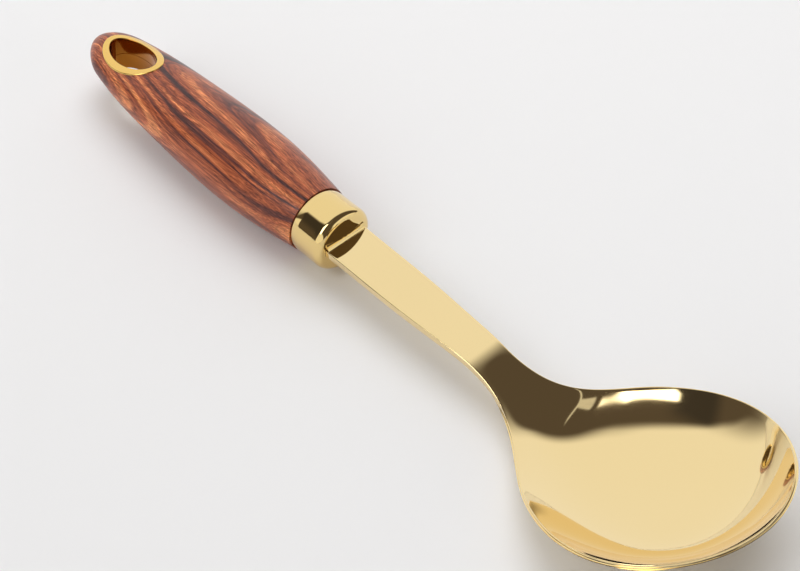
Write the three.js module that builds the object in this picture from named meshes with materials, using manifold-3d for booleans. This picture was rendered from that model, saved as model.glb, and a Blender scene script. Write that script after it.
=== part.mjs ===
// A serving spoon: a shallow gold-coloured steel bowl on a flat neck, a rosewood-look handle
// behind a polished ferrule, and an oval hanging eyelet through the handle's end.
//
// Millimetres, +Z up. The spoon lies on a table as it does in use, on the bowl's underside and
// the handle's belly. +X runs from the handle's tip to the bowl's tip. Stations along the spoon
// are measured from the handle's tip, and the whole spoon is centred on the origin at the end.

import * as THREE from 'three';
import { mergeVertices } from 'three/addons/utils/BufferGeometryUtils.js';
import Module from 'manifold-3d';

const wasm = await Module();
wasm.setup();

// Overall sizes
const LENGTH = 308.6;
const RIM_TIP = 307.45;
const BOWL_HALF_WIDTH = 36.4;

// Clearance between pieces that touch on the real spoon
const GAP = 0.2;

// Handle: [station, half size], with the axis height at the tip, the middle and the ferrule
const HANDLE_END = 124.8;
const HANDLE_HALF_WIDTHS = [
  [0, 8.4], [10, 10.5], [25, 13.2], [50, 15.2], [78, 16.1], [102, 15.4], [125, 12.15],
];
const HANDLE_HALF_HEIGHTS = [[0, 5.7], [25, 8.4], [50, 11.35], [85, 14.1], [125, 12.15]];
const AXIS_HEIGHTS = [[0, 16.6], [62.5, 14.5], [125, 13.7]];
const TIP_ROUNDING_WIDTH = 14;
const TIP_ROUNDING_HEIGHT = 10;
const SPIGOT_END = 133;
const SPIGOT_RADIUS = 10.6;

// Tang rod, glued into the handle's bore and welded to the neck's tail
const AXIS_Z = 13.7;
const ROD_RADIUS = 2.5;
const ROD_START = 54;
const ROD_END = 134.1;
const BORE_RADIUS = 4;
const BORE_START = 50;
const GLUE_START = 56;
const GLUE_END = 132;

// Ferrule: a drawn cup with a rounded shoulder and a slightly domed end
const FERRULE_RADIUS = 11.85;
const FERRULE_WALL = 0.8;
const FERRULE_START = HANDLE_END + GAP;
const FERRULE_BAND_END = 136.2;
const FERRULE_SHOULDER_END = 138.9;
const FERRULE_FACE_RADIUS = 8.6;
const FERRULE_DOME_END = 139.6;
const FERRULE_FACE_THICKNESS = 1;
const FERRULE_INNER_FACE_RADIUS = 8.2;
const SLOT_DEPTH = 8;

// Spoon head: [station, half width] along the neck's straight part, then
// [station, half width, height of the upper edge] along its bend and the bowl's rear
const TAIL_START = ROD_END + GAP;
const NECK_STRAIGHT_END = 196;
const NECK_SLOPE = -0.0138;
const NECK_TOP = 15.5;
const NECK_THICKNESS = 2.7;
const NECK_HALF_WIDTHS = [
  [TAIL_START, 8.6], [150, 8.4], [173, 8.15], [187, 7.5], [NECK_STRAIGHT_END, 7.05],
];
const HEAD_EDGE = [
  [203, 6.8, 14.2], [209, 6.8, 12.85], [216, 7.75, 11], [222.9, 10.15, 9.3], [230.1, 14.6, 8.45],
  [237.6, 20.9, 9.5], [245.4, 27.3, 12.35], [253.3, 31.9, 15.55], [263.2, 35.4, 19.6],
];
const WIDEST = 272.5;
const RIM_HEIGHT_AT_WIDEST = 23.4;
const RIM_TILT = THREE.MathUtils.degToRad(22.2);
const BOWL_DEPTH = 15;
const BOWL_DEEPEST = 277;
const BOWL_START = 206;
const BOWL_ROUNDNESS = 2.7;
const FRONT_POINTEDNESS = 1.05;
const BOWL_THICKNESS = 1.3;
const THINNING_END = 245;
const EDGE_STRETCH = 1.12;

// Eyelet: an oval grommet of two flanged halves that meet inside the handle
const EYELET_X = 23.3;
const EYELET_HOLE = [11.75, 6.3];
const EYELET_WALL = 0.8;
const EYELET_FLANGE = [14.7, 9.15];
const EYELET_FLANGE_THICKNESS = 1;
const EYELET_PROUD = 0.35;

// Mesh steps
const AROUND_HANDLE = 32;
const ALONG_HANDLE = 30;
const AROUND_FERRULE = 40;
const AROUND_ROD = 20;
const AROUND_EYELET = 40;
const ACROSS_HEAD = 14;
const SHOULDER_STEPS = 5;
const FRONT_STEPS = 18;
const FRONT_KNOTS = 12;

const smooth = (t) => {
  const k = THREE.MathUtils.clamp(t, 0, 1);
  return k * k * (3 - 2 * k);
};

// A smooth curve through [station, value] pairs, read by station
function profile(pairs) {
  const curve = new THREE.SplineCurve(pairs.map(([x, y]) => new THREE.Vector2(x, y)));
  const samples = curve.getPoints(40 * pairs.length);
  return (x) => {
    const last = samples.findIndex((p) => p.x >= x);
    if (last <= 0) return last === 0 ? samples[0].y : samples[samples.length - 1].y;
    const [a, b] = [samples[last - 1], samples[last]];
    return THREE.MathUtils.lerp(a.y, b.y, (x - a.x) / (b.x - a.x));
  };
}

const handleHalfWidth = profile(HANDLE_HALF_WIDTHS);
const handleHalfHeight = profile(HANDLE_HALF_HEIGHTS);
const axisHeight = profile(AXIS_HEIGHTS);

// Rounds the handle's tip: 0 at the tip, 1 from the rounding's length onwards
function tipRounding(x, length) {
  const t = THREE.MathUtils.clamp(x / length, 0, 1);
  return Math.sqrt(1 - (1 - t) ** 2);
}

function handleSection(x) {
  return {
    a: handleHalfWidth(x) * tipRounding(x, TIP_ROUNDING_WIDTH),
    b: handleHalfHeight(x) * tipRounding(x, TIP_ROUNDING_HEIGHT),
    z: axisHeight(x),
  };
}

// Height of the handle's surface above (side 1) or below (side -1) a point of its plan
function handleSurface(x, y, side) {
  const { a, b, z } = handleSection(x);
  return z + side * b * Math.sqrt(Math.max(0, 1 - (y / a) ** 2));
}

// A closed mesh from rings of equal length. A ring may be one repeated point, at a tip.
function loft(rings, closedAround) {
  const positions = [];
  const indices = [];
  const n = rings[0].length;
  rings.forEach((ring) => ring.forEach((p) => positions.push(p.x, p.y, p.z)));
  const quads = closedAround ? n : n - 1;
  for (let i = 0; i < rings.length - 1; i += 1) {
    for (let j = 0; j < quads; j += 1) {
      const k = (j + 1) % n;
      const [a, b, c, d] = [i * n + j, i * n + k, (i + 1) * n + k, (i + 1) * n + j];
      indices.push(a, b, c, a, c, d);
    }
  }
  const geometry = new THREE.BufferGeometry();
  geometry.setAttribute('position', new THREE.Float32BufferAttribute(positions, 3));
  geometry.setIndex(indices);
  return geometry;
}

// Merges shared corners and drops triangles that have closed up
function weld(geometry) {
  const bare = new THREE.BufferGeometry();
  bare.setAttribute('position', geometry.getAttribute('position'));
  bare.setIndex(geometry.getIndex());
  const merged = mergeVertices(bare, 1e-4);
  const index = merged.getIndex().array;
  const kept = [];
  for (let i = 0; i < index.length; i += 3) {
    const [a, b, c] = [index[i], index[i + 1], index[i + 2]];
    if (a !== b && b !== c && c !== a) kept.push(a, b, c);
  }
  merged.setIndex(kept);
  return merged;
}

function toSolid(geometry) {
  const merged = weld(geometry);
  return new wasm.Manifold(new wasm.Mesh({
    numProp: 3,
    vertProperties: new Float32Array(merged.getAttribute('position').array),
    triVerts: new Uint32Array(merged.getIndex().array),
  }));
}

function toGeometry(solid) {
  const mesh = solid.getMesh();
  const geometry = new THREE.BufferGeometry();
  geometry.setAttribute('position', new THREE.BufferAttribute(new Float32Array(mesh.vertProperties), 3));
  geometry.setIndex(new THREE.BufferAttribute(new Uint32Array(mesh.triVerts), 1));
  geometry.computeVertexNormals();
  return geometry;
}

// A solid of revolution about the line along X at the handle's axis height
function turned(profilePoints, segments) {
  const points = profilePoints.map(([radius, x]) => new THREE.Vector2(radius, x));
  const geometry = new THREE.LatheGeometry(points, segments);
  geometry.rotateZ(-Math.PI / 2);
  geometry.translate(0, 0, AXIS_Z);
  return geometry;
}

// An upright oval prism between two heights
function ovalPrism([halfLength, halfWidth], low, high) {
  const shape = new THREE.Shape();
  shape.absellipse(EYELET_X, 0, halfLength, halfWidth, 0, Math.PI * 2);
  const geometry = new THREE.ExtrudeGeometry(shape, {
    depth: high - low,
    bevelEnabled: false,
    curveSegments: AROUND_EYELET / 2,
  });
  geometry.translate(0, 0, low);
  return geometry;
}

// A point of an oval about the eyelet's centre
function ovalPoint([halfLength, halfWidth], angle, heightAt) {
  const x = EYELET_X + halfLength * Math.cos(angle);
  const y = halfWidth * Math.sin(angle);
  return new THREE.Vector3(x, y, heightAt(x, y));
}

function grow([halfLength, halfWidth], by) {
  return [halfLength + by, halfWidth + by];
}

// A closed tube of a cross-section that is carried round an oval
function ovalRing(sectionAt) {
  const rings = [];
  for (let i = 0; i <= AROUND_EYELET; i += 1) {
    const angle = (i % AROUND_EYELET) / AROUND_EYELET * Math.PI * 2;
    rings.push(sectionAt(angle));
  }
  return loft(rings, true);
}

// The sunk seat for a flange: everything above (or below) a surface that follows the handle
function flangeSeat(side) {
  const depth = EYELET_FLANGE_THICKNESS - EYELET_PROUD + GAP;
  const outer = grow(EYELET_FLANGE, GAP);
  const inner = grow(EYELET_HOLE, EYELET_WALL - 1);
  const floor = (x, y) => handleSurface(x, y, side) - side * depth;
  const clear = (x, y) => AXIS_Z + side * 30;
  const ring = ovalRing((angle) => {
    const section = [
      ovalPoint(inner, angle, floor),
      ovalPoint([(inner[0] + outer[0]) / 2, (inner[1] + outer[1]) / 2], angle, floor),
      ovalPoint(outer, angle, floor),
      ovalPoint(outer, angle, clear),
      ovalPoint(inner, angle, clear),
    ];
    return side > 0 ? section.reverse() : section;
  });
  return toSolid(ring);
}

function handleBody() {
  const rings = [];
  for (let i = 0; i <= ALONG_HANDLE; i += 1) {
    const x = HANDLE_END * (1 - Math.cos(Math.PI / 2 * i / ALONG_HANDLE));
    rings.push(ovalSection(x, handleSection(x)));
  }
  const spigot = { a: SPIGOT_RADIUS, b: SPIGOT_RADIUS, z: AXIS_Z };
  const point = { a: 0, b: 0, z: AXIS_Z };
  rings.push(ovalSection(HANDLE_END, spigot));
  rings.push(ovalSection(SPIGOT_END, spigot));
  rings.push(ovalSection(SPIGOT_END, point));
  return loft(rings, true);
}

function ovalSection(x, { a, b, z }) {
  const ring = [];
  for (let j = 0; j < AROUND_HANDLE; j += 1) {
    const angle = j / AROUND_HANDLE * Math.PI * 2;
    ring.push(new THREE.Vector3(x, a * Math.cos(angle), z + b * Math.sin(angle)));
  }
  return ring;
}

function handleGeometry() {
  const bore = turned(
    [[0, BORE_START], [BORE_RADIUS, BORE_START], [BORE_RADIUS, SPIGOT_END + 2], [0, SPIGOT_END + 2]],
    AROUND_ROD,
  );
  const hole = ovalPrism(grow(EYELET_HOLE, EYELET_WALL + GAP), -20, 60);
  const body = toSolid(handleBody())
    .subtract(toSolid(bore))
    .subtract(toSolid(hole))
    .subtract(flangeSeat(1))
    .subtract(flangeSeat(-1));
  return toGeometry(body);
}

// One half of the grommet: a flange on the handle's face and a sleeve to the middle of the hole
function eyeletHalf(side) {
  const sleeveOuter = grow(EYELET_HOLE, EYELET_WALL);
  const top = (x, y) => handleSurface(x, y, side) + side * EYELET_PROUD;
  const under = (x, y) => top(x, y) - side * EYELET_FLANGE_THICKNESS;
  const middle = (x) => axisHeight(x) + side * GAP / 2;
  const halfway = [(EYELET_HOLE[0] + EYELET_FLANGE[0]) / 2, (EYELET_HOLE[1] + EYELET_FLANGE[1]) / 2];
  return ovalRing((angle) => {
    const section = [
      ovalPoint(EYELET_HOLE, angle, middle),
      ovalPoint(EYELET_HOLE, angle, top),
      ovalPoint(halfway, angle, top),
      ovalPoint(EYELET_FLANGE, angle, top),
      ovalPoint(EYELET_FLANGE, angle, under),
      ovalPoint(sleeveOuter, angle, under),
      ovalPoint(sleeveOuter, angle, middle),
    ];
    return side > 0 ? section : section.reverse();
  });
}

function ferruleGeometry() {
  const shoulder = [];
  const inside = [];
  const innerRadius = FERRULE_RADIUS - FERRULE_WALL;
  for (let i = 0; i <= SHOULDER_STEPS; i += 1) {
    const angle = i / SHOULDER_STEPS * Math.PI / 2;
    const along = (FERRULE_SHOULDER_END - FERRULE_BAND_END) * Math.cos(angle);
    const across = (FERRULE_RADIUS - FERRULE_FACE_RADIUS) * Math.sin(angle);
    shoulder.push([FERRULE_FACE_RADIUS + across, FERRULE_BAND_END + along]);
    const innerAcross = (innerRadius - FERRULE_INNER_FACE_RADIUS) * Math.sin(angle);
    inside.push([FERRULE_INNER_FACE_RADIUS + innerAcross, FERRULE_BAND_END + along - FERRULE_WALL]);
  }
  const faceInside = FERRULE_DOME_END - FERRULE_FACE_THICKNESS;
  const face = [[0, FERRULE_DOME_END], [FERRULE_FACE_RADIUS / 2, FERRULE_DOME_END - 0.15]];
  const back = [[0, faceInside], [FERRULE_FACE_RADIUS / 2, faceInside - 0.1]];
  const cup = turned([
    ...face,
    ...shoulder,
    [FERRULE_RADIUS, FERRULE_START],
    [innerRadius, FERRULE_START],
    ...inside.reverse(),
    ...back.reverse(),
  ].reverse(), AROUND_FERRULE);
  const { halfWidth, height } = headEdge(FERRULE_SHOULDER_END);
  const slot = new THREE.BoxGeometry(SLOT_DEPTH, 2 * (halfWidth + GAP), NECK_THICKNESS + 2 * GAP);
  slot.translate(FERRULE_BAND_END + GAP + SLOT_DEPTH / 2, 0, height - NECK_THICKNESS / 2);
  return toGeometry(toSolid(cup).subtract(toSolid(slot)));
}

function rodGeometry() {
  return turned([[0, ROD_START], [ROD_RADIUS, ROD_START], [ROD_RADIUS, ROD_END], [0, ROD_END]], AROUND_ROD);
}

function glueGeometry() {
  const inner = ROD_RADIUS + GAP;
  const outer = BORE_RADIUS - GAP;
  return turned(
    [[inner, GLUE_START], [outer, GLUE_START], [outer, GLUE_END], [inner, GLUE_END], [inner, GLUE_START]],
    AROUND_ROD,
  );
}

// The upper edge of the steel sheet, from the tail to the bowl's tip, as one smooth curve
const neckHeight = (x) => NECK_TOP + NECK_SLOPE * (x - FERRULE_SHOULDER_END);
const rimHeight = (x) => RIM_HEIGHT_AT_WIDEST + Math.tan(RIM_TILT) * (x - WIDEST);

// Half width of the bowl's front, at an angle from the widest station to the tip
const frontHalfWidth = (angle) => {
  const across = Math.cos(angle);
  return BOWL_HALF_WIDTH * Math.sign(across) * Math.abs(across) ** FRONT_POINTEDNESS;
};

function edgeCurve() {
  const points = NECK_HALF_WIDTHS.map(([x, halfWidth]) => new THREE.Vector3(x, halfWidth, neckHeight(x)));
  HEAD_EDGE.forEach(([x, halfWidth, z]) => points.push(new THREE.Vector3(x, halfWidth, z)));
  for (let i = 0; i <= FRONT_KNOTS + 2; i += 1) {
    const angle = i / FRONT_KNOTS * Math.PI / 2;
    const x = WIDEST + (RIM_TIP - WIDEST) * Math.sin(angle);
    points.push(new THREE.Vector3(x, frontHalfWidth(angle), rimHeight(x)));
  }
  return new THREE.CatmullRomCurve3(points);
}

const EDGE = edgeCurve();
const EDGE_TIP = 1 - 2 / (EDGE.points.length - 1);
const EDGE_SAMPLES = EDGE.getPoints(1200).filter((p, i) => i / 1200 <= EDGE_TIP);

function headEdge(x) {
  const next = Math.max(1, EDGE_SAMPLES.findIndex((p) => p.x >= x));
  const [a, b] = [EDGE_SAMPLES[next - 1], EDGE_SAMPLES[next]];
  const t = (x - a.x) / (b.x - a.x);
  return { halfWidth: THREE.MathUtils.lerp(a.y, b.y, t), height: THREE.MathUtils.lerp(a.z, b.z, t) };
}

// How far the sheet is sunk below its edge, at a station and at v from -1 to 1 across
function sunk(x, v) {
  const along = x > BOWL_DEEPEST
    ? (x - BOWL_DEEPEST) / (RIM_TIP - BOWL_DEEPEST)
    : (x - BOWL_DEEPEST) / (BOWL_DEEPEST - BOWL_START);
  const t = THREE.MathUtils.clamp(along, -1, 1);
  const radius = Math.sqrt(t * t + (1 - t * t) * v * v);
  const dish = 1 - radius ** BOWL_ROUNDNESS;
  const run = Math.cos(Math.PI / 2 * radius) ** 2;
  return BOWL_DEPTH * THREE.MathUtils.lerp(dish, run, smooth(-t));
}

// How far the edge has turned from level towards the rim's tilt, at a station
const rimTurn = (x) => RIM_TILT * smooth((x - BOWL_START) / (THINNING_END - BOWL_START));

function headPoint(edge, v) {
  const turn = rimTurn(edge.x);
  const depth = sunk(edge.x, v);
  return new THREE.Vector3(
    edge.x + depth * Math.sin(turn),
    edge.y * v,
    edge.z - depth * Math.cos(turn),
  );
}

// Stations of the head's mesh, from the tail to the tip
function headStations() {
  const straight = [TAIL_START, FERRULE_SHOULDER_END, 160, 178, NECK_STRAIGHT_END];
  const stations = straight.map((x) => {
    const { halfWidth } = headEdge(x);
    return new THREE.Vector3(x, halfWidth, neckHeight(x));
  });
  const bend = [
    200, 203, 206, 209, 212, 215, 218.5, 222, 226, 230, 234.5, 239, 244, 249, 254, 259.5, 265,
  ];
  bend.forEach((x) => {
    const { halfWidth, height } = headEdge(x);
    stations.push(new THREE.Vector3(x, halfWidth, height));
  });
  for (let i = 0; i <= FRONT_STEPS; i += 1) {
    const angle = i / FRONT_STEPS * Math.PI / 2;
    const x = WIDEST + (RIM_TIP - WIDEST) * Math.sin(angle);
    stations.push(new THREE.Vector3(x, frontHalfWidth(angle), rimHeight(x)));
  }
  return stations;
}

// The way up out of the sheet: square to the rim's plane along the edge, and square to the
// sheet elsewhere
function sheetNormal(rows, edge, i, j) {
  if (j === 0 || j === ACROSS_HEAD || edge.y < 0.01) {
    const turn = rimTurn(edge.x);
    return new THREE.Vector3(-Math.sin(turn), 0, Math.cos(turn)).multiplyScalar(EDGE_STRETCH);
  }
  const along = new THREE.Vector3().subVectors(rows[i + 1][j], rows[Math.max(0, i - 1)][j]);
  const across = new THREE.Vector3().subVectors(rows[i][j - 1], rows[i][j + 1]);
  return along.cross(across).normalize();
}

function middleOf(ring) {
  const middle = ring[0].clone().add(ring[ACROSS_HEAD + 1]).multiplyScalar(0.5);
  middle.y = 0;
  return ring.map(() => middle.clone());
}

function headGeometry() {
  const stations = headStations();
  const upper = stations.map((edge) => {
    const row = [];
    for (let j = 0; j <= ACROSS_HEAD; j += 1) {
      row.push(headPoint(edge, Math.sin((0.5 - j / ACROSS_HEAD) * Math.PI)));
    }
    return row;
  });
  const rings = upper.map((row, i) => {
    const edge = stations[i];
    const thin = smooth((edge.x - NECK_STRAIGHT_END) / (THINNING_END - NECK_STRAIGHT_END));
    const thickness = THREE.MathUtils.lerp(NECK_THICKNESS, BOWL_THICKNESS, thin);
    const under = row.map((point, j) => {
      const up = sheetNormal(upper, edge, i, j);
      return point.clone().addScaledVector(up, -thickness);
    });
    return [...row, ...under.reverse()];
  });
  rings.unshift(middleOf(rings[0]));
  rings.push(middleOf(rings[rings.length - 1]));
  return toGeometry(toSolid(loft(rings, true)));
}

const finishes = {
  gold: { color: 0xe0bd66, roughness: 0.1, metalness: 1 },
  wood: { color: 0x8c4a2f, roughness: 0.35, metalness: 0 },
  steel: { color: 0xb9bab8, roughness: 0.3, metalness: 1 },
  glue: { color: 0xcdb98a, roughness: 0.6, metalness: 0 },
};

const spoon = new THREE.Group();

function addPiece(name, geometry, finish) {
  const piece = new THREE.Mesh(geometry, new THREE.MeshStandardMaterial(finishes[finish]));
  piece.name = name;
  spoon.add(piece);
}

addPiece('spoon_head', headGeometry(), 'gold');
addPiece('ferrule', ferruleGeometry(), 'gold');
addPiece('handle', handleGeometry(), 'wood');
addPiece('tang_rod', rodGeometry(), 'steel');
addPiece('tang_glue', glueGeometry(), 'glue');
addPiece('eyelet_front', eyeletHalf(1), 'gold');
addPiece('eyelet_back', eyeletHalf(-1), 'gold');

spoon.position.x = -LENGTH / 2;

export default spoon;
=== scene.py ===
"""A gold-coloured serving spoon with a rosewood-look handle, lying on a plain pale table."""

import math

import bmesh
import bpy
import numpy as np
from mathutils import Matrix, Vector


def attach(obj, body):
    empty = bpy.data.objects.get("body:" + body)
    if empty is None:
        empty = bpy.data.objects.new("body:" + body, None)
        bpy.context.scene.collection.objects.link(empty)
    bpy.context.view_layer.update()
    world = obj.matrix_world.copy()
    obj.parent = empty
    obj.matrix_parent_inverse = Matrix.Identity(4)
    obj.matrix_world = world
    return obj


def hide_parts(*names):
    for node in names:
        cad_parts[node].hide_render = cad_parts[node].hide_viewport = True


MM = 0.001
CREASE = math.radians(28)
MERGE_DISTANCE = 1e-6
AXIS_HOLE = 0.001

# Stations are in millimetres from the handle's tip; heights are above the table.
LENGTH = 308.6

# Handle
HANDLE_END = 124.8
HANDLE_STATIONS = 120
HANDLE_SEGMENTS = 128
SPIGOT_RADIUS = 10.6
SPIGOT_END = 133
HALF_WIDTHS = [(0, 8.4), (10, 10.5), (25, 13.2), (50, 15.2), (78, 16.1), (102, 15.4), (125, 12.15)]
HALF_HEIGHTS = [(0, 5.7), (25, 8.4), (50, 11.35), (85, 14.1), (125, 12.15)]
AXIS_HEIGHTS = [(0, 16.6), (62.5, 14.5), (125, 13.7)]
TIP_ROUNDING_WIDTH = 14
TIP_ROUNDING_HEIGHT = 10
AXIS_Z = 13.7

# Ferrule
FERRULE_RADIUS = 11.85
FERRULE_START = 124.95
FERRULE_WALL = 0.8
FERRULE_SEGMENTS = 128
SEAM_ROUNDING = 0.35
BAND_END = 136.2
FACE_RADIUS = 9.2
FACE_X = 138.9
DOME_X = 139.6
FACE_THICKNESS = 1
SLOT_CLEARANCE = 0.08
FILLET_HALF_WIDTH = 8
FILLET_HEIGHT = 1.9

# Spoon head
TAIL = 134.3
NECK_SLOPE = -0.0138
NECK_TOP = 15.5
NECK_THICKNESS = 2.7
NECK_STRAIGHT_END = 196
THINNING_END = 245
BOWL_THICKNESS = 1.3
NECK_HALF_WIDTHS = [(TAIL, 8.6), (150, 8.4), (173, 8.15), (187, 7.5), (196, 7.05)]
EDGE = [
    (203, 6.8, 14.2), (209, 6.8, 12.85), (216, 7.75, 11), (222.9, 10.15, 9.3), (230.1, 14.6, 8.45),
    (237.6, 20.9, 9.5), (245.4, 27.3, 12.35), (253.3, 31.9, 15.55), (263.2, 35.4, 19.6),
]
WIDEST = 272.5
BOWL_HALF_WIDTH = 36.4
RIM_HEIGHT = 23.4
RIM_TILT = math.radians(22.2)
RIM_TIP = 307.45
POINTEDNESS = 1.05
BOWL_DEPTH = 15
BOWL_DEEPEST = 277
BOWL_START = 206
ROUNDNESS = 2.7
LIP = 0.4
LIP_STEPS = (0.2, 0.4, 0.6, 0.8, 1.0)
RIM_THICKENING = 1.12
NECK_ROWS = 24
BOWL_ROWS = 190
HEAD_COLUMNS = 56

# Eyelet
EYELET_X = 23.3
HOLE = (11.75, 6.3)
SLEEVE = 0.8
FLANGE = (14.7, 9.15)
FLANGE_WIDTH = FLANGE[1] - HOLE[1]
PROUD = 0.35
FLANGE_THICKNESS = 1.0
INNER_ROLL = 0.55
OUTER_ROLL = 0.3
HALVES_GAP = 0.1
WELL_SEGMENTS = 96
EYELET_SEGMENTS = 144


def spline(pairs):
    """A smooth curve through (station, value) pairs, read by station."""
    x, y = np.array(pairs, float).T
    h = np.diff(x)
    n = len(x)
    a = np.eye(n)
    b = np.zeros(n)
    for i in range(1, n - 1):
        a[i, i - 1:i + 2] = h[i - 1], 2 * (h[i - 1] + h[i]), h[i]
        b[i] = 6 * ((y[i + 1] - y[i]) / h[i] - (y[i] - y[i - 1]) / h[i - 1])
    m = np.linalg.solve(a, b)

    def at(s):
        s = np.clip(np.asarray(s, float), x[0], x[-1])
        i = np.clip(np.searchsorted(x, s) - 1, 0, n - 2)
        t, u = s - x[i], x[i + 1] - s
        bend = (m[i] * u ** 3 + m[i + 1] * t ** 3) / (6 * h[i])
        return bend + (y[i] / h[i] - m[i] * h[i] / 6) * u + (y[i + 1] / h[i] - m[i + 1] * h[i] / 6) * t

    return at


def smooth(t):
    t = np.clip(t, 0, 1)
    return t * t * (3 - 2 * t)


def mix(a, b, t):
    return a + (b - a) * t


def make_object(name, points, faces, material, node=None, slot=None):
    """A smooth-shaded mesh from points in millimetres; it rides the body if it replaces a node."""
    mesh = bpy.data.meshes.new(name)
    points = (np.asarray(points, float) - (LENGTH / 2, 0, 0)) * MM
    mesh.from_pydata(points.tolist(), [], faces)
    work = bmesh.new()
    work.from_mesh(mesh)
    bmesh.ops.remove_doubles(work, verts=work.verts, dist=MERGE_DISTANCE)
    bmesh.ops.dissolve_degenerate(work, edges=work.edges, dist=MERGE_DISTANCE)
    bmesh.ops.recalc_face_normals(work, faces=work.faces)
    for face in work.faces:
        face.smooth = True
    work.to_mesh(mesh)
    work.free()
    mesh.set_sharp_from_angle(angle=CREASE)
    mesh.materials.append(material)
    piece = bpy.data.objects.new(name, mesh)
    bpy.context.collection.objects.link(piece)
    if node:
        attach(piece, "root")
        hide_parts(node)
    return piece


def loft(rings):
    """Points and faces of a tube through closed rings of equal length."""
    rings = np.asarray(rings, float)
    count, n = rings.shape[:2]
    faces = []
    for i in range(count - 1):
        for j in range(n):
            k = (j + 1) % n
            faces.append((i * n + j, i * n + k, (i + 1) * n + k, (i + 1) * n + j))
    return rings.reshape(-1, 3), faces


def join(piece, other):
    """Makes another closed body part of the piece."""
    cut(piece, [other], "UNION")


def cut(piece, cutters, operation="DIFFERENCE"):
    """Cuts the cutters out of the piece, or joins them to it, and removes them."""
    for cutter in cutters:
        modifier = piece.modifiers.new("cut", "BOOLEAN")
        modifier.operation = operation
        modifier.solver = "EXACT"
        modifier.object = cutter
    bpy.context.view_layer.update()
    graph = bpy.context.evaluated_depsgraph_get()
    mesh = bpy.data.meshes.new_from_object(piece.evaluated_get(graph))
    mesh.set_sharp_from_angle(angle=CREASE)
    piece.modifiers.clear()
    piece.data = mesh
    for cutter in cutters:
        bpy.data.objects.remove(cutter)


# ---- spoon head -------------------------------------------------------------------------------

def front_half_width(x):
    across = np.sqrt(np.clip(1 - ((x - WIDEST) / (RIM_TIP - WIDEST)) ** 2, 0, 1))
    return BOWL_HALF_WIDTH * across ** POINTEDNESS


def rim_height(x):
    return RIM_HEIGHT + math.tan(RIM_TILT) * (x - WIDEST)


def neck_height(x):
    return NECK_TOP + NECK_SLOPE * (x - FACE_X)


rear_half_width = spline(
    NECK_HALF_WIDTHS + [(x, w) for x, w, z in EDGE]
    + [(x, float(front_half_width(x))) for x in (WIDEST, WIDEST + 5, WIDEST + 10)]
)
rear_height = spline(
    [(x, neck_height(x)) for x in (TAIL, 160, 180, 190, NECK_STRAIGHT_END)]
    + [(x, z) for x, w, z in EDGE]
    + [(x, rim_height(x)) for x in (WIDEST, WIDEST + 15, RIM_TIP)]
)


def half_width(x):
    return np.where(x < WIDEST, rear_half_width(x), front_half_width(x))


def edge_height(x):
    return np.where(x < WIDEST, rear_height(x), rim_height(x))


def rim_turn(x):
    return RIM_TILT * smooth((x - BOWL_START) / (THINNING_END - BOWL_START))


def sheet_point(x, y):
    """A point of the sheet's upper face, at a station and a distance from the middle."""
    v = np.clip(y / np.maximum(half_width(x), 1e-6), -1, 1)
    ahead = (x - BOWL_DEEPEST) / (RIM_TIP - BOWL_DEEPEST)
    behind = (x - BOWL_DEEPEST) / (BOWL_DEEPEST - BOWL_START)
    t = np.clip(np.where(x > BOWL_DEEPEST, ahead, behind), -1, 1)
    rho = np.sqrt(t * t + (1 - t * t) * v * v)
    depth = BOWL_DEPTH * mix(1 - rho ** ROUNDNESS, np.cos(math.pi / 2 * rho) ** 2, smooth(-t))
    turn = rim_turn(x)
    return np.stack([x + depth * np.sin(turn), y + 0 * x, edge_height(x) - depth * np.cos(turn)], -1)


def sheet_normal(x, y):
    """The upper face's unit normal, from short steps along and across that stay on the sheet."""
    step = 0.05
    inward = np.where(x > RIM_TIP - 1, step, -step)
    along = (sheet_point(x, y) - sheet_point(x - inward, y)) * np.sign(inward)[..., None]
    side = np.where(y > 0, -step, step)
    across = (sheet_point(x, y + side) - sheet_point(x, y)) * np.sign(side)[..., None]
    normal = np.cross(along, across)
    return normal / np.linalg.norm(normal, axis=-1, keepdims=True)


def edge_stations():
    """Stations spread evenly along the sheet's edge, closer together on the bowl."""
    angle = np.linspace(0, math.pi / 2, 600)
    fine = np.concatenate([np.linspace(TAIL, WIDEST, 1200)[:-1], WIDEST + (RIM_TIP - WIDEST) * np.sin(angle)])
    points = np.stack([fine, half_width(fine), edge_height(fine)], -1)
    length = np.concatenate([[0], np.cumsum(np.linalg.norm(np.diff(points, axis=0), axis=1))])
    bend = np.interp(NECK_STRAIGHT_END, fine, length)
    places = np.concatenate([np.linspace(0, bend, NECK_ROWS)[:-1], np.linspace(bend, length[-1], BOWL_ROWS)])
    x = np.interp(places, length, fine)
    x[-1] = RIM_TIP
    return x


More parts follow.
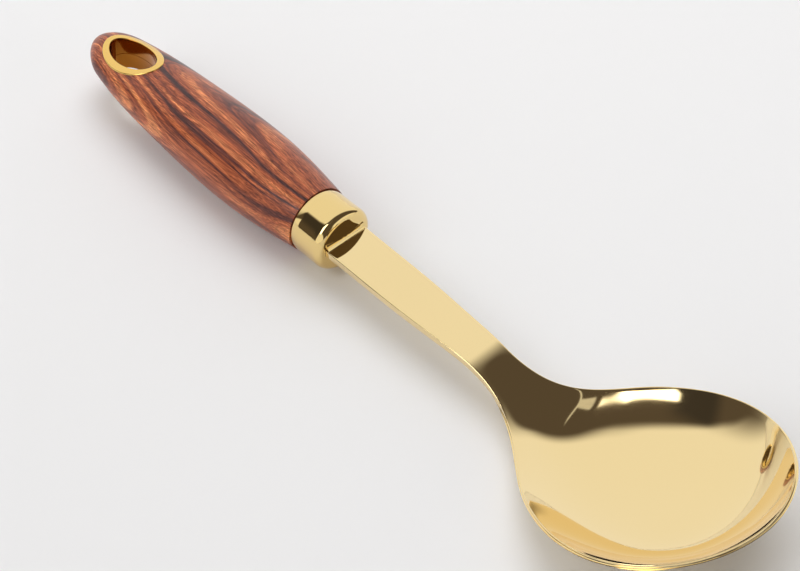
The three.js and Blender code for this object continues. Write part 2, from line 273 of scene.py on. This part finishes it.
def build_head(material):
    """Rings round the sheet: its upper face, the rolled left lip, its underside and the right lip."""
    step = 0.02
    rings = []
    for x in edge_stations():
        edge = np.array([x, float(half_width(x)), float(edge_height(x))])
        if x > RIM_TIP - 1e-6:
            outward = np.array([1.0, 0.0])
            edge[1] = 0
        else:
            slope = float(half_width(min(x + step, RIM_TIP)) - half_width(x - step)) / (2 * step)
            outward = np.array([-slope, 1.0]) / math.hypot(slope, 1)
        turn = float(rim_turn(x))
        up = np.array([-math.sin(turn), 0, math.cos(turn)])
        thin = float(smooth((x - NECK_STRAIGHT_END) / (THINNING_END - NECK_STRAIGHT_END)))
        thickness = mix(NECK_THICKNESS, BOWL_THICKNESS, thin)
        inner_x = x - LIP * outward[0]
        inner_y = max(0.0, edge[1] - LIP * outward[1])
        ys = np.linspace(inner_y, -inner_y, HEAD_COLUMNS + 1)
        xs = np.full_like(ys, inner_x)
        top = sheet_point(xs, ys)
        normal = mix(np.array([0, 0, 1.0]), sheet_normal(xs, ys), min(1.0, thin * 50))
        under = top - normal * thickness
        low_edge = edge - up * thickness * mix(1.0, RIM_THICKENING, thin)
        bends = []
        for corner, toward, sign in ((edge, top[0], -1), (low_edge, under[0], 1)):
            side = corner + LIP * sign * up
            bends.append([(1 - t) ** 2 * toward + 2 * t * (1 - t) * corner + t * t * side
                          for t in LIP_STEPS])
        right = bends[0] + bends[1][::-1]
        left = [p * (1, -1, 1) for p in right]
        rings.append(list(top) + left + list(under[::-1]) + right[::-1])
    points, faces = loft(rings)
    n = len(rings[0])
    points = list(points)
    faces.append(tuple(range(n))[::-1])
    faces.append(tuple((len(rings) - 1) * n + j for j in range(n)))
    make_object("spoon_head_sheet", points, faces, material, "spoon_head", "head_gold")


# ---- ferrule ----------------------------------------------------------------------------------

def turned_rings(profile):
    """Rings of a solid of revolution about the handle's axis, from (radius, station) points."""
    angles = np.linspace(0, 2 * math.pi, FERRULE_SEGMENTS, endpoint=False)
    rings = []
    for radius, x in profile:
        rings.append([(x, radius * math.cos(a), AXIS_Z + radius * math.sin(a)) for a in angles])
    return rings


def ferrule_profile():
    """The cup's outside from the middle of its end to the seam, then back along its inside."""
    profile = [(AXIS_HOLE, DOME_X)]
    for k in range(1, 6):
        profile.append((FACE_RADIUS * k / 6, DOME_X - (DOME_X - FACE_X) * (k / 6) ** 2))
    for k in range(13):
        a = k / 12 * math.pi / 2
        across = (FERRULE_RADIUS - FACE_RADIUS) * math.sin(a)
        profile.append((FACE_RADIUS + across, BAND_END + (FACE_X - BAND_END) * math.cos(a)))
    for x in (134, 131, 128, FERRULE_START + SEAM_ROUNDING):
        profile.append((FERRULE_RADIUS, x))
    inner = FERRULE_RADIUS - FERRULE_WALL
    return profile + [
        (FERRULE_RADIUS - 0.1, FERRULE_START + 0.1),
        (FERRULE_RADIUS - SEAM_ROUNDING, FERRULE_START),
        (inner, FERRULE_START),
        (inner, BAND_END - FERRULE_WALL),
        (FACE_RADIUS, FACE_X - FACE_THICKNESS),
        (AXIS_HOLE, DOME_X - FACE_THICKNESS),
    ]


def prism(outline, reach):
    """A solid that reaches to both sides, from an outline of (station, height) points."""
    n = len(outline)
    points = [(x, y, z) for y in (-reach, reach) for x, z in outline]
    faces = [tuple(range(n)), tuple(range(2 * n - 1, n - 1, -1))]
    faces += [(i, i + n, (i + 1) % n + n, (i + 1) % n) for i in range(n)]
    return points, faces


def build_ferrule(material):
    """The cup with a solder fillet on its face, slotted for the neck."""
    points, faces = loft(turned_rings(ferrule_profile()))
    piece = make_object("ferrule_cup", points, faces, material, "ferrule", "ferrule_gold")
    middle = float(edge_height(FACE_X)) - NECK_THICKNESS / 2
    low, high = middle - NECK_THICKNESS / 2 - SLOT_CLEARANCE, middle + NECK_THICKNESS / 2 + SLOT_CLEARANCE
    fillet = [(FACE_X - 0.4, middle), (FACE_X - 0.4, high + 2.4)]
    for k in range(9):
        t = k / 8
        fillet.append((DOME_X - 0.25 + 0.75 * t ** 1.6, high + FILLET_HEIGHT * (1 - t)))
    fillet.append((DOME_X + 0.5, middle))
    join(piece, make_object("solder_fillet", *prism(fillet, FILLET_HALF_WIDTH), material))
    slot = [(BAND_END, low), (BAND_END, high), (DOME_X + 4, high), (DOME_X + 4, low)]
    width = float(half_width(FACE_X)) + SLOT_CLEARANCE
    cut(piece, [make_object("slot_cutter", *prism(slot, width), material)])


# ---- handle and eyelet ------------------------------------------------------------------------

handle_half_width = spline(HALF_WIDTHS)
handle_half_height = spline(HALF_HEIGHTS)
axis_height = spline(AXIS_HEIGHTS)


def tip_rounding(x, length):
    t = np.clip(x / length, 0, 1)
    return np.sqrt(1 - (1 - t) ** 2)


def handle_section(x):
    a = handle_half_width(x) * tip_rounding(x, TIP_ROUNDING_WIDTH)
    b = handle_half_height(x) * tip_rounding(x, TIP_ROUNDING_HEIGHT)
    return a, b, axis_height(x)


def handle_surface(x, y, side):
    a, b, z = handle_section(x)
    return z + side * b * np.sqrt(np.clip(1 - (y / np.maximum(a, 1e-6)) ** 2, 0, 1))


def oval_ring(section, steps):
    """A closed tube carried round the eyelet's oval. section(angle) gives its points."""
    rings = [section(a) for a in np.linspace(0, 2 * math.pi, steps, endpoint=False)]
    return loft(rings + [rings[0]])


def oval_point(grow, angle, height):
    x = EYELET_X + (HOLE[0] + grow) * math.cos(angle)
    y = (HOLE[1] + grow) * math.sin(angle)
    return (x, y, float(height(x, y)))


def build_handle(material):
    """The wood with its spigot, drilled for the eyelet's sleeve and seated for its two flanges."""
    around = np.linspace(0, 2 * math.pi, HANDLE_SEGMENTS, endpoint=False)
    rings = []
    for x in HANDLE_END * (1 - np.cos(np.linspace(0, math.pi / 2, HANDLE_STATIONS))):
        a, b, z = handle_section(x)
        rings.append([(x, a * math.cos(t), z + b * math.sin(t)) for t in around])
    for x, radius in ((HANDLE_END, SPIGOT_RADIUS), (SPIGOT_END, SPIGOT_RADIUS), (SPIGOT_END, AXIS_HOLE)):
        rings.append([(x, radius * math.cos(t), AXIS_Z + radius * math.sin(t)) for t in around])
    points, faces = loft(rings)
    piece = make_object("handle_wood", points, faces, material, "handle", "handle_wood")
    cutters = []
    well = [
        [oval_point(SLEEVE + 0.1, a, lambda x, y, z=z: z)
         for a in np.linspace(0, 2 * math.pi, WELL_SEGMENTS, endpoint=False)]
        for z in (-20, 60)
    ]
    points, faces = loft(well)
    faces += [tuple(range(WELL_SEGMENTS)), tuple(range(WELL_SEGMENTS, 2 * WELL_SEGMENTS))]
    cutters.append(make_object("well_cutter", points, faces, material))
    seat_width = FLANGE_WIDTH + 0.06
    for side in (1, -1):
        def floor(x, y):
            return handle_surface(x, y, side) - side * (FLANGE_THICKNESS - PROUD + 0.05)

        def clear(x, y):
            return AXIS_Z + side * 30

        def section(angle):
            grows = np.linspace(0.2, seat_width, 6)
            return [oval_point(g, angle, floor) for g in grows] + [
                oval_point(seat_width, angle, clear), oval_point(0.2, angle, clear)]

        points, faces = oval_ring(section, WELL_SEGMENTS)
        cutters.append(make_object("seat_cutter", points, faces, material))
    cut(piece, cutters)


def build_eyelet(side, material, well_shade_material):
    """One half of the eyelet: side is 1 for the upper half and -1 for the lower one."""
    def top(drop):
        return lambda x, y: handle_surface(x, y, side) + side * (PROUD - drop)

    def middle(x, y):
        return axis_height(x) + side * HALVES_GAP

    def section(angle):
        points = [oval_point(0, angle, height) for height in (middle, top(2.2), top(0.9))]
        for k in range(1, 6):
            a = k / 5 * math.pi / 2
            drop = top(INNER_ROLL * (1 - math.sin(a)))
            points.append(oval_point(INNER_ROLL * (1 - math.cos(a)), angle, drop))
        for grow in np.linspace(0.9, FLANGE_WIDTH - 0.45, 5):
            points.append(oval_point(grow, angle, top(0)))
        for k in range(5):
            a = k / 4 * math.pi / 2
            drop = top(OUTER_ROLL * (1 - math.cos(a)))
            points.append(oval_point(FLANGE_WIDTH - OUTER_ROLL * (1 - math.sin(a)), angle, drop))
        points.append(oval_point(FLANGE_WIDTH, angle, top(FLANGE_THICKNESS)))
        points.append(oval_point(SLEEVE, angle, top(FLANGE_THICKNESS)))
        points.append(oval_point(SLEEVE, angle, middle))
        return points

    points, faces = oval_ring(section, EYELET_SEGMENTS)
    name = "eyelet_front" if side > 0 else "eyelet_back"
    piece = make_object(name + "_shell", points, faces, material, name, "eyelet_gold")
    # Faces inside the hole take a darker, browner gold: painted shade and painted reflection for the recess.
    piece.data.materials.append(well_shade_material)
    for face in piece.data.polygons:
        x, y = face.center[0] / MM + LENGTH / 2 - EYELET_X, face.center[1] / MM
        if math.hypot(x / (HOLE[0] + 0.3), y / (HOLE[1] + 0.3)) < 1:
            face.material_index = 1


# ---- materials --------------------------------------------------------------------------------

# The wood's heart line, in metres in the row frame, and the rings that are picked out round it.
HEART_START = 0.0713
HEART_HEIGHT = 0.0062
HEART_SIDE = 0.004
HEART_SLOPE = 0.085
ARCH_RING = 0.0249
PALE_RING = 0.0229
WOOD_TONES = [
    (0.36, (0.058, 0.018, 0.016)),
    (0.42, (0.135, 0.032, 0.020)),
    (0.47, (0.275, 0.061, 0.024)),
    (0.54, (0.420, 0.100, 0.034)),
    (0.62, (0.640, 0.212, 0.074)),
]
FIBRE_TONES = [(0.36, (0.42, 0.38, 0.38)), (0.5, (0.95, 0.95, 0.95)), (0.64, (1.7, 1.9, 1.9))]
PORE_TONES = [(0.33, (0.35, 0.3, 0.3)), (0.40, (1, 1, 1))]


class Nodes:
    """Small helper for building a material's node tree."""

    def __init__(self, name):
        self.material = bpy.data.materials.new(name)
        self.material.use_nodes = True
        self.tree = self.material.node_tree
        self.shader = self.tree.nodes["Principled BSDF"]

    def add(self, kind, **settings):
        node = self.tree.nodes.new(kind)
        for key, value in settings.items():
            setattr(node, key, value)
        return node

    def link(self, a, b):
        self.tree.links.new(a, b)

    def put(self, socket, value):
        if isinstance(value, bpy.types.NodeSocket):
            self.link(value, socket)
        else:
            socket.default_value = value

    def place(self, location=(0, 0, 0)):
        """Object coordinates, moved."""
        coordinates = self.add("ShaderNodeTexCoord")
        mapping = self.add("ShaderNodeMapping")
        mapping.inputs["Location"].default_value = location
        self.link(coordinates.outputs["Object"], mapping.inputs["Vector"])
        return mapping.outputs["Vector"]

    def noise(self, vector, scale, detail, roughness=0.55):
        node = self.add("ShaderNodeTexNoise")
        self.link(vector, node.inputs["Vector"])
        node.inputs["Scale"].default_value = scale
        node.inputs["Detail"].default_value = detail
        node.inputs["Roughness"].default_value = roughness
        return node.outputs["Fac"]

    def math(self, operation, a, b=0.0, c=0.0, clamp=False):
        node = self.add("ShaderNodeMath", operation=operation, use_clamp=clamp)
        for socket, value in zip(node.inputs, (a, b, c)):
            self.put(socket, value)
        return node.outputs[0]

    def square(self, value):
        return self.math("MULTIPLY", value, value)

    def ramp(self, value, stops):
        node = self.add("ShaderNodeValToRGB")
        elements = node.color_ramp.elements
        while len(elements) < len(stops):
            elements.new(0.5)
        for element, (place, colour) in zip(elements, stops):
            element.position = place
            element.color = (*colour, 1)
        self.put(node.inputs["Fac"], value)
        return node.outputs["Color"]

    def blend(self, factor, a, b, kind="MIX"):
        node = self.add("ShaderNodeMix", data_type="RGBA", blend_type=kind)
        self.put(node.inputs["Factor"], factor)
        for socket, value in ((node.inputs["A"], a), (node.inputs["B"], b)):
            self.put(socket, (*value, 1) if isinstance(value, tuple) else value)
        return node.outputs["Result"]

    def bump(self, height, strength, distance):
        node = self.add("ShaderNodeBump")
        self.put(node.inputs["Height"], height)
        node.inputs["Strength"].default_value = strength
        node.inputs["Distance"].default_value = distance
        self.link(node.outputs["Normal"], self.shader.inputs["Normal"])


def gold(name, colour, roughness, lacquer):
    """Mirror-polished metal with a faint unevenness in its polish."""
    nodes = Nodes(name)
    shader = nodes.shader
    shader.inputs["Metallic"].default_value = 1
    haze = nodes.noise(nodes.place(), 60, 3)
    nodes.put(shader.inputs["Roughness"], nodes.math("MULTIPLY_ADD", haze, 0.03, roughness))
    shader.inputs["Coat Weight"].default_value = lacquer
    shader.inputs["Coat Roughness"].default_value = 0.04
    tint = nodes.noise(nodes.place((3, 1, 2)), 25, 2)
    darker = tuple(c * 0.97 for c in colour)
    nodes.put(shader.inputs["Base Color"], nodes.blend(tint, darker, colour))
    return nodes.material


def wood():
    """Rosewood-look laminate: growth rings cut at a slant, fine fibres and pores, under lacquer."""
    nodes = Nodes("rosewood_lacquered")
    shader = nodes.shader
    coordinates = nodes.add("ShaderNodeTexCoord")
    split = nodes.add("ShaderNodeSeparateXYZ")
    nodes.link(coordinates.outputs["Object"], split.inputs[0])
    x, y, z = (split.outputs[k] for k in "XYZ")

    def stretched(place, scale, detail, roughness=0.5):
        """Noise over three coordinates, each with its own scale."""
        joined = nodes.add("ShaderNodeCombineXYZ")
        for socket, value, k in zip(joined.inputs, place, scale):
            nodes.put(socket, nodes.math("MULTIPLY", value, k))
        return nodes.noise(joined.outputs[0], 1, detail, roughness)

    def near(value, middle, steepness):
        """1 at the middle value, falling to 0 on both sides of it."""
        away = nodes.math("ABSOLUTE", nodes.math("SUBTRACT", value, middle))
        return nodes.math("SUBTRACT", 1.0, nodes.math("MULTIPLY", away, steepness), clamp=True)

    # Growth rings round a heart line inside the handle. It sinks away from the handle's crowned
    # top towards the tip, so the rings surface there as nested arches.
    along = nodes.math("ADD", x, HEART_START)
    crown = nodes.math("MULTIPLY", nodes.square(along), 1.25)
    height = nodes.math("ADD", z, nodes.math("SUBTRACT", crown, nodes.math("MULTIPLY", along, HEART_SLOPE)))
    height = nodes.math("SUBTRACT", height, HEART_HEIGHT)
    # The grain follows the handle's outline as it narrows towards either end.
    narrowing = nodes.math(
        "ADD",
        nodes.math("MULTIPLY", nodes.square(nodes.math("MAXIMUM", along, 0.0)), 139),
        nodes.math("MULTIPLY", nodes.square(nodes.math("MINIMUM", along, 0.0)), 55),
    )
    side = nodes.math("MULTIPLY", nodes.math("SUBTRACT", y, HEART_SIDE), 1.7)
    side = nodes.math("DIVIDE", side, nodes.math("SUBTRACT", 1.0, narrowing))
    radius = nodes.math("SQRT", nodes.math("ADD", nodes.square(side), nodes.square(height)))
    waver = nodes.math("SUBTRACT", stretched((x, y, z), (13, 35, 35), 1, 0.55), 0.5)
    ring = nodes.math("ADD", radius, nodes.math("MULTIPLY", waver, 0.005))

    bands = stretched((ring, x, y), (560, 7, 14), 3)
    lines = stretched((ring, x, y), (1500, 22, 60), 3, 0.6)
    fibres = stretched((x, y, z), (48, 2700, 2700), 4, 0.75)
    pores = stretched((x, y, z), (210, 3000, 3000), 2)
    tone = nodes.math("ADD", nodes.math("MULTIPLY", bands, 0.56), nodes.math("MULTIPLY", lines, 0.44))
    # One dark arch, with a paler zone inside it.
    dark_arch = near(ring, ARCH_RING, 900)
    pale_zone = near(ring, PALE_RING, 550)
    tone = nodes.math("SUBTRACT", tone, nodes.math("MULTIPLY", dark_arch, 0.17))
    tone = nodes.math("ADD", tone, nodes.math("MULTIPLY", pale_zone, 0.035))

    colour = nodes.ramp(tone, WOOD_TONES)
    colour = nodes.blend(1.0, colour, nodes.ramp(fibres, FIBRE_TONES), "MULTIPLY")
    colour = nodes.blend(1.0, colour, nodes.ramp(pores, PORE_TONES), "MULTIPLY")
    nodes.put(shader.inputs["Base Color"], colour)
    shader.inputs["Roughness"].default_value = 0.34
    shader.inputs["Specular IOR Level"].default_value = 0.3
    shader.inputs["Coat Weight"].default_value = 0.15
    shader.inputs["Coat Roughness"].default_value = 0.15
    nodes.bump(fibres, 0.2, 0.0001)
    return nodes.material


def plain(name, colour, roughness, metallic=0.0):
    """A material for the hidden pieces, slightly mottled."""
    nodes = Nodes(name)
    shader = nodes.shader
    shade = nodes.noise(nodes.place(), 300, 3)
    darker = tuple(c * 0.88 for c in colour)
    nodes.put(shader.inputs["Base Color"], nodes.blend(shade, darker, colour))
    shader.inputs["Roughness"].default_value = roughness
    shader.inputs["Metallic"].default_value = metallic
    return nodes.material


# ---- studio -----------------------------------------------------------------------------------

FLOOR_HALF = 3.0
WALL_TONE = (0.97, 0.97, 0.97, 1)
CEILING_TONE = (0.1, 0.082, 0.07, 1)
CORE_TONE = (0.05, 0.044, 0.042, 1)
LAMP_TONE = (1, 1, 1, 1)
LENS = 64.7
SENSOR = 36
CAMERA_RIGHT = Vector((0.68453, 0.72903, 0.00028))
CAMERA_BACK = Vector((0.4815, -0.45247, 0.75056))
CAMERA_PLACE = Vector((388.5 - LENGTH / 2, -209.49, 361.34)) * MM


def build_floor():
    mesh = bpy.data.meshes.new("floor")
    corners = [(a * FLOOR_HALF, b * FLOOR_HALF, 0) for a, b in ((-1, -1), (1, -1), (1, 1), (-1, 1))]
    mesh.from_pydata(corners, [], [(0, 1, 2, 3)])
    floor = bpy.data.objects.new("floor", mesh)
    material = bpy.data.materials.new("floor_paint")
    material.use_nodes = True
    shader = material.node_tree.nodes["Principled BSDF"]
    shader.inputs["Base Color"].default_value = (0.86, 0.86, 0.865, 1)
    shader.inputs["Roughness"].default_value = 0.9
    mesh.materials.append(material)
    bpy.context.collection.objects.link(floor)


def build_world():
    """A pale studio: bright walls, a dark strip of ceiling behind the camera, and one lamp in it."""
    world = bpy.data.worlds.new("studio")
    bpy.context.scene.world = world
    world.use_nodes = True
    tree = world.node_tree
    background = tree.nodes["Background"]

    def node(operation, a, b=0.0, c=0.0):
        made = tree.nodes.new("ShaderNodeMath")
        made.operation = operation
        for socket, value in zip(made.inputs, (a, b, c)):
            if isinstance(value, bpy.types.NodeSocket):
                tree.links.new(value, socket)
            else:
                socket.default_value = value
        return made.outputs[0]

    coordinates = tree.nodes.new("ShaderNodeTexCoord")
    split = tree.nodes.new("ShaderNodeSeparateXYZ")
    tree.links.new(coordinates.outputs["Generated"], split.inputs[0])
    # The sky flattened onto a map: straight up is its middle, the horizon a circle of radius 1.
    above = node("ADD", node("MAXIMUM", split.outputs["Z"], -0.5), 1.0)
    x = node("DIVIDE", split.outputs["X"], above)
    y = node("DIVIDE", split.outputs["Y"], above)

    def beyond(value, start, end):
        """0 to 1 as the value goes from start to end."""
        ramp = tree.nodes.new("ShaderNodeMapRange")
        ramp.interpolation_type = "SMOOTHSTEP"
        ramp.inputs["From Min"].default_value = start
        ramp.inputs["From Max"].default_value = end
        tree.links.new(value, ramp.inputs["Value"])
        return ramp.outputs["Result"]

    def past_line(along_x, along_y, start, end):
        """A soft half of the sky, beyond a line in the sky's flattened map."""
        return beyond(node("MULTIPLY_ADD", x, along_x, node("MULTIPLY", y, along_y)), start, end)

    def either(*masks):
        missed = node("SUBTRACT", 1.0, masks[0])
        for mask in masks[1:]:
            missed = node("MULTIPLY", missed, node("SUBTRACT", 1.0, mask))
        return node("SUBTRACT", 1.0, missed)

    def all_of(*masks):
        met = masks[0]
        for mask in masks[1:]:
            met = node("MULTIPLY", met, mask)
        return met

    def over(mask, under, top):
        """The top colour laid over the one under it where the mask is 1."""
        mixed = tree.nodes.new("ShaderNodeMix")
        mixed.data_type = "RGBA"
        tree.links.new(mask, mixed.inputs["Factor"])
        if isinstance(under, bpy.types.NodeSocket):
            tree.links.new(under, mixed.inputs["A"])
        else:
            mixed.inputs["A"].default_value = under
        mixed.inputs["B"].default_value = top
        return mixed.outputs["Result"]

    ceiling = either(
        past_line(1, -0.275, -0.174, -0.038),
        past_line(1, 0, 0.07, 0.11),
        past_line(0.104, -1, 0.19, 0.43),
        past_line(0.641, -1, 0.013, 0.087),
    )
    # A bright wall, and a dark doorway, break the ceiling's outline.
    far_wall = all_of(past_line(1, 0.2, 0.56, 0.62), past_line(0, 1, -0.08, 0.02))
    doorway = all_of(
        past_line(1, -0.6, -0.14, -0.11),
        past_line(-1, 0.6, -0.07, -0.04),
        past_line(0, -1, 0.45, 0.5),
    )
    dark = all_of(ceiling, node("SUBTRACT", 1.0, far_wall), past_line(0, 1, -0.56, -0.5))
    dark = either(dark, doorway)
    # The middle of the ceiling is darker still.
    core = all_of(
        past_line(1, 0, -0.46, -0.36),
        past_line(-1, 0, 0.17, 0.24),
        past_line(0, -1, 0.22, 0.32),
    )
    lamp = all_of(
        past_line(0.3, -1, 0.181, 0.190),
        past_line(0.89, -1, 0.125, 0.133),
        past_line(1, 0, -0.232, -0.212),
        past_line(-1, 0, -0.02, 0),
        past_line(0, 1, -0.58, -0.54),
    )
    # Two thin bright gaps beside the lamp.
    upright_gap = all_of(
        past_line(1, 0.308, 0.050, 0.055),
        past_line(-1, -0.308, -0.063, -0.058),
        past_line(0, 1, -0.166, -0.162),
        past_line(0, -1, -0.04, 0.12),
    )
    level_gap = all_of(
        past_line(0.2, -1, 0.176, 0.180),
        past_line(-0.2, 1, -0.189, -0.185),
        past_line(1, 0, 0.03, 0.045),
        past_line(-1, 0, -0.11, -0.1),
    )
    gap = node("MULTIPLY", either(upright_gap, level_gap), 0.7)
    colour = over(dark, WALL_TONE, CEILING_TONE)
    colour = over(node("MULTIPLY", core, dark), colour, CORE_TONE)
    colour = over(node("MAXIMUM", lamp, gap), colour, LAMP_TONE)
    tree.links.new(colour, background.inputs["Color"])
    strength = node("MULTIPLY_ADD", lamp, 3.0, 1.0)
    tree.links.new(strength, background.inputs["Strength"])


def build_lights():
    """A soft light from above for the matt surfaces; the metal mirrors the studio itself."""
    light = bpy.data.lights.new("soft_top", "AREA")
    light.shape = "DISK"
    light.size = 1.2
    light.energy = 7
    lamp = bpy.data.objects.new("soft_top", light)
    lamp.location = (-0.35, 0.35, 1.1)
    lamp.rotation_euler = (Vector((0, 0, 0)) - lamp.location).to_track_quat("-Z", "Y").to_euler()
    lamp.visible_glossy = False
    bpy.context.collection.objects.link(lamp)


def build_camera():
    data = bpy.data.cameras.new("camera")
    data.sensor_width = SENSOR
    data.lens = LENS
    camera = bpy.data.objects.new("camera", data)
    up = CAMERA_BACK.cross(CAMERA_RIGHT)
    camera.matrix_world = Matrix((CAMERA_RIGHT, up, CAMERA_BACK)).transposed().to_4x4()
    camera.location = CAMERA_PLACE
    bpy.context.collection.objects.link(camera)
    bpy.context.scene.camera = camera


# ---- scene ------------------------------------------------------------------------------------

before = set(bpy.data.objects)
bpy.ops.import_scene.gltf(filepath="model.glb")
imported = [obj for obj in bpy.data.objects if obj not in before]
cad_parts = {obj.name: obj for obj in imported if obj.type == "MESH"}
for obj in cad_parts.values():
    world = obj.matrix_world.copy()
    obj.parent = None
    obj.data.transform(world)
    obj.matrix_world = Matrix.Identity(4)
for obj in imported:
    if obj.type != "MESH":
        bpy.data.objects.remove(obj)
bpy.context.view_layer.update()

head_gold = gold("head_gold_polish", (0.89, 0.69, 0.335), 0.03, 1.0)
ferrule_gold = gold("ferrule_gold_polish", (0.86, 0.64, 0.27), 0.02, 0.3)
eyelet_gold = gold("eyelet_gold_polish", (0.9, 0.59, 0.18), 0.1, 0.0)
# Painted shade: a dark brown gold for the inside of the eyelet's hole, standing in for the shaded, dimly
# reflecting recess.
well_painted_shade = gold("eyelet_well_painted_shade", (0.42, 0.16, 0.022), 0.1, 0.0)

build_head(head_gold)
build_ferrule(ferrule_gold)
build_handle(wood())
build_eyelet(1, eyelet_gold, well_painted_shade)
build_eyelet(-1, eyelet_gold, well_painted_shade)

for name, material in (
    ("tang_rod", plain("tang_steel", (0.6, 0.6, 0.59), 0.3, 1.0)),
    ("tang_glue", plain("cured_glue", (0.6, 0.5, 0.3), 0.5)),
):
    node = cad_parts[name]
    node.data.materials.clear()
    node.data.materials.append(material)

build_floor()
build_world()
build_lights()
build_camera()
bpy.context.scene.view_settings.view_transform = "Standard"
